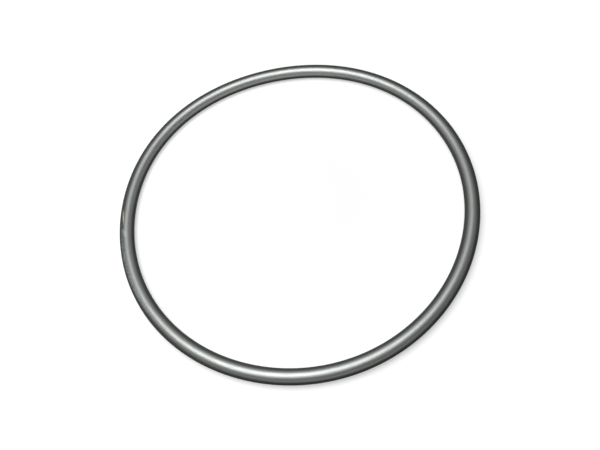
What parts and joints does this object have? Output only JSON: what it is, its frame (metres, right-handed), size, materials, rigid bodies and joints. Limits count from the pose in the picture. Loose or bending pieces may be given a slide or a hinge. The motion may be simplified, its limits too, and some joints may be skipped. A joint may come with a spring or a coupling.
{
  "type": "o-ring",
  "caption": "Closed ring of round black rubber cord that seals a groove, with a fine moulding line round its hole.",
  "frame": {"origin": "centre of the ring, on its mid-plane", "axes": "+Z along the ring's axis; the ring lies flat on its lower crown, and X and Y are any two directions across it"},
  "size_m": [0.1338, 0.1338, 0.0054],
  "materials": {
    "nitrile_rubber": "black nitrile rubber, compression moulded, satin"
  },
  "bodies": {
    "root": {"o_ring": "nitrile_rubber"}
  },
  "joints": []
}
